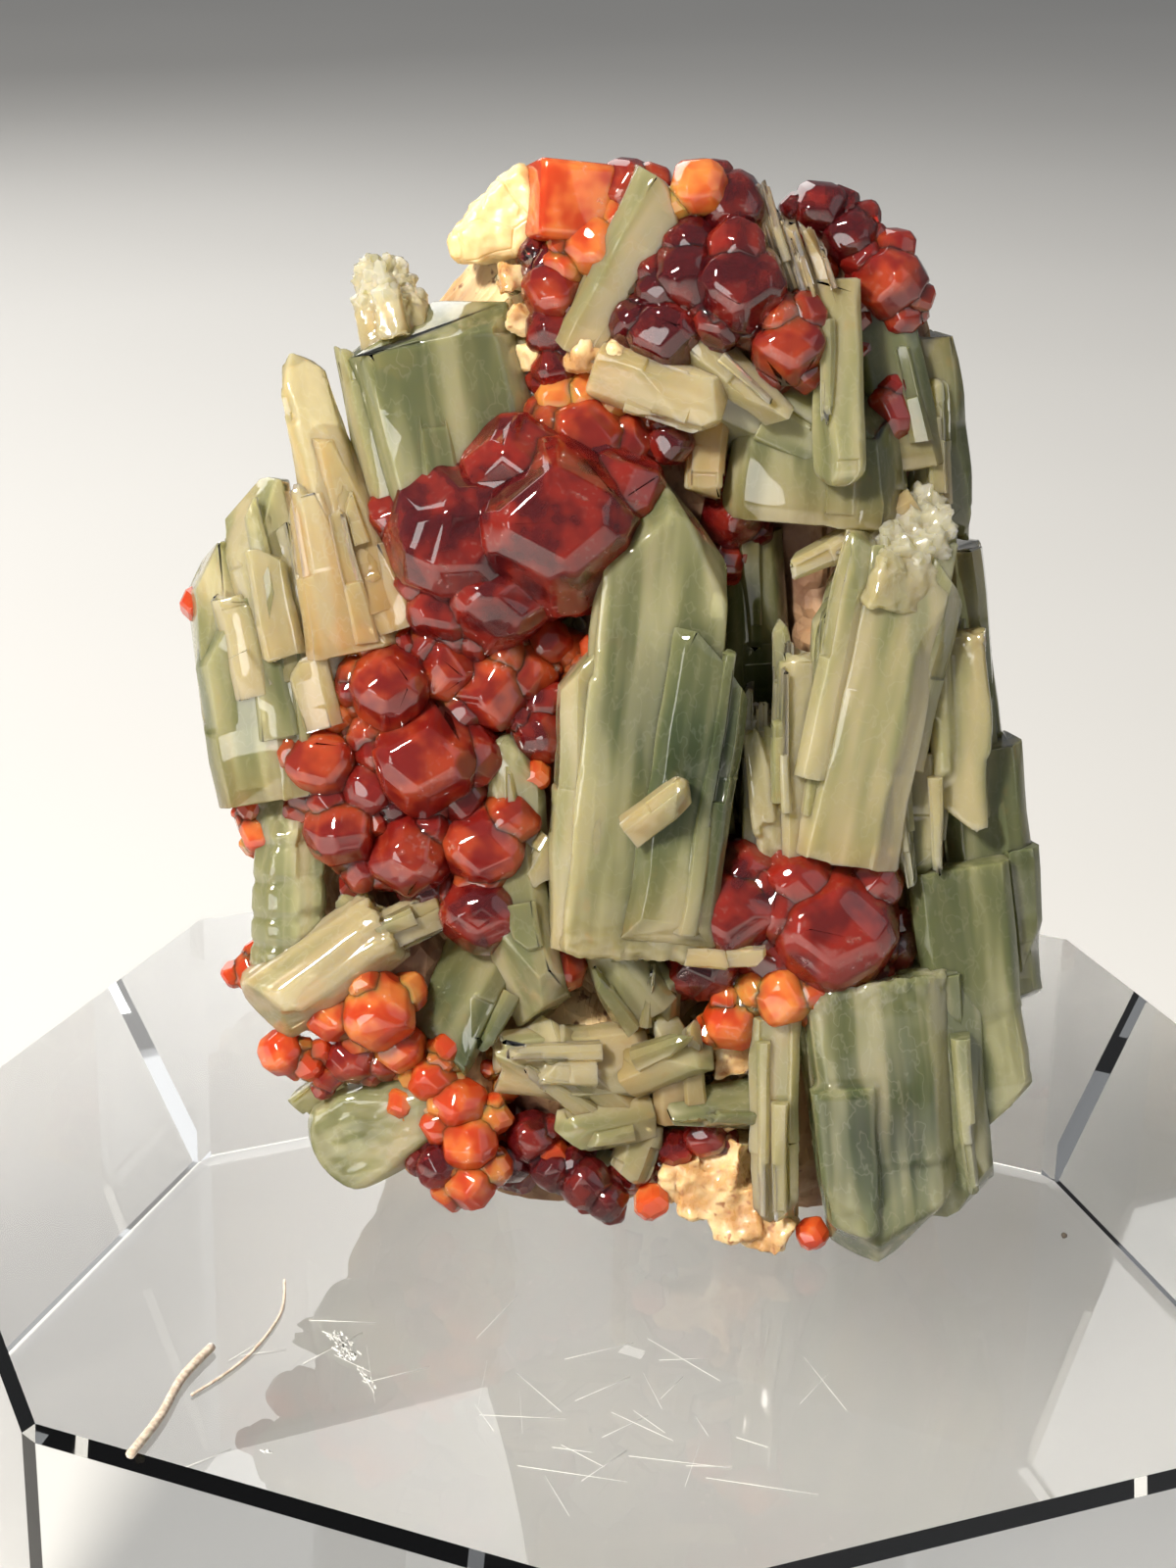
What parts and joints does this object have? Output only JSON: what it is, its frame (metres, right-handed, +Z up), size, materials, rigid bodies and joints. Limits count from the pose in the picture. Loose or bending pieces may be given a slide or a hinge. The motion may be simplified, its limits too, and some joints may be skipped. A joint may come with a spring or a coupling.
{
  "type": "hessonite garnet with diopside on a clear stand",
  "caption": "Mineral specimen of orange to wine-red garnets grown among pale green diopside blades, standing on a clear octagonal block.",
  "frame": {"origin": "middle of the octagonal block's underside", "axes": "+Z up, front of the specimen towards -Y, +X to the right as seen from the front"},
  "size_m": [0.0538, 0.0538, 0.0668],
  "materials": {
    "crystals": "natural crystal faces, glassy to waxy, on rough cream rock",
    "clear_acrylic": "polished clear acrylic with fine scratches",
    "garnet": "see-through orange to wine red, bright flat faces",
    "diopside": "cloudy pale green, ridged along the crystal",
    "rock": "rough, cream to brown"
  },
  "bodies": {
    "root": {"specimen": "crystals", "stand": "clear_acrylic"}
  },
  "joints": []
}
